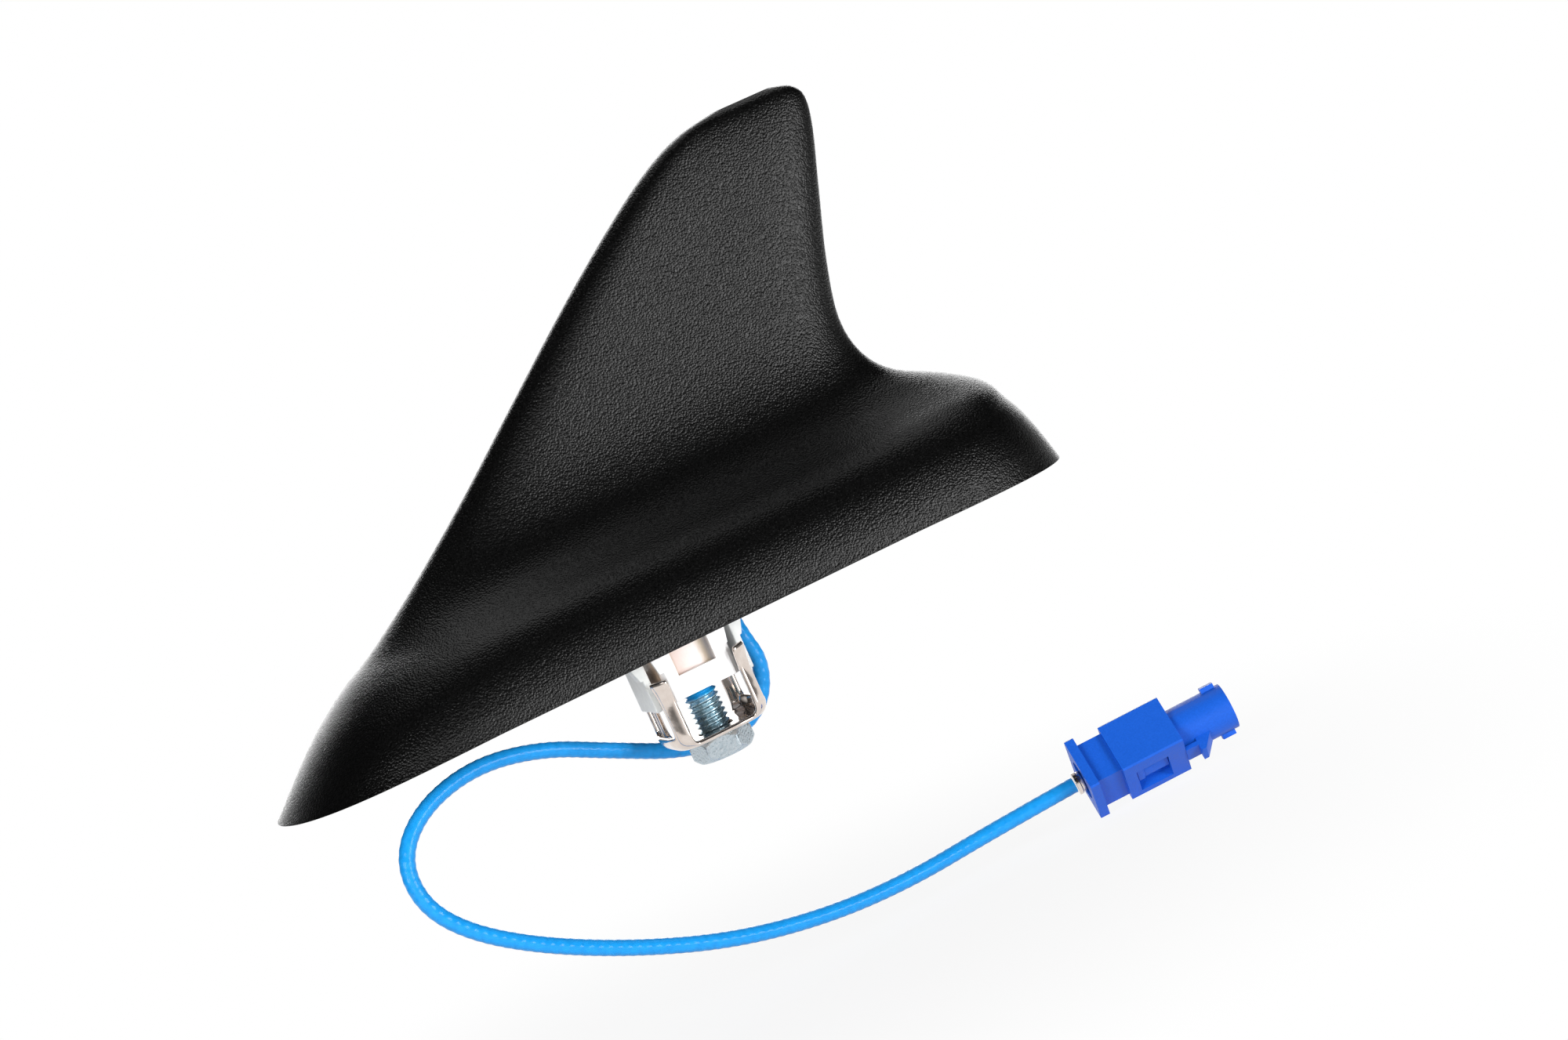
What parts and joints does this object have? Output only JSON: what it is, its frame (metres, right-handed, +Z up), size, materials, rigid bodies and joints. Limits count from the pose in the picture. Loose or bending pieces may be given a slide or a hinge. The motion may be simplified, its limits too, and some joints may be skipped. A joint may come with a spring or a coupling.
{
  "type": "car roof antenna",
  "caption": "Shark-fin car roof antenna with a grained black cover, a bolt-drawn spring clamp under its base and a blue coaxial lead ending in a keyed square plug.",
  "frame": {"origin": "on the roof plane under the gasket, on the axis of the clamp bolt", "axes": "+X to the tail of the fin, +Y to the side where the lead leaves, +Z up from the roof"},
  "size_m": [0.1635, 0.0552, 0.1436],
  "materials": {
    "cover_plastic": "fine-grained, near black",
    "die_casting": "bright casting",
    "seal_rubber": "matte",
    "steel": "plain",
    "natural_nylon": "translucent",
    "nickel": "bright plated",
    "zinc_plate": "bluish plated",
    "board": "solder-resist green",
    "ceramic": "fired",
    "gold_plate": "plated",
    "tinplate": "plain",
    "lead_jacket": "azure, glossy",
    "plug_plastic": "royal blue, satin",
    "insulator": "white"
  },
  "bodies": {
    "antenna": {"fin_cover": "cover_plastic", "base_plate": "die_casting", "roof_gasket": "seal_rubber", "cover_screws": "steel", "locating_collar": "natural_nylon", "circuit_board": "board", "board_screws": "steel", "patch_antenna": "ceramic", "feed_pin": "gold_plate", "shield_can": "tinplate", "cable_grommet": "seal_rubber", "inner_lead": "lead_jacket", "lead_saddle": "tinplate", "coax_cable": "lead_jacket", "plug_housing": "plug_plastic", "lock_slide": "plug_plastic", "crimp_ferrule": "nickel", "outer_contact": "gold_plate", "contact_insulator": "insulator", "centre_contact": "gold_plate"},
    "claw": {"clamp_claw": "nickel"},
    "bolt": {"clamp_bolt": "zinc_plate"}
  },
  "joints": [
    {"name": "clamp_lift", "type": "slide", "parent": "antenna", "child": "claw", "axis": [0, 0, 1], "range_m": [0, 0.0042]},
    {"name": "bolt_turn", "type": "hinge", "parent": "claw", "child": "bolt", "pos_m": [0, 0, -0.0204], "axis": [0, 0, 1], "continuous": true}
  ],
  "couplings": [
    {"joint": "bolt_turn", "follows": "clamp_lift", "rad_per_m": 6283.2}
  ]
}
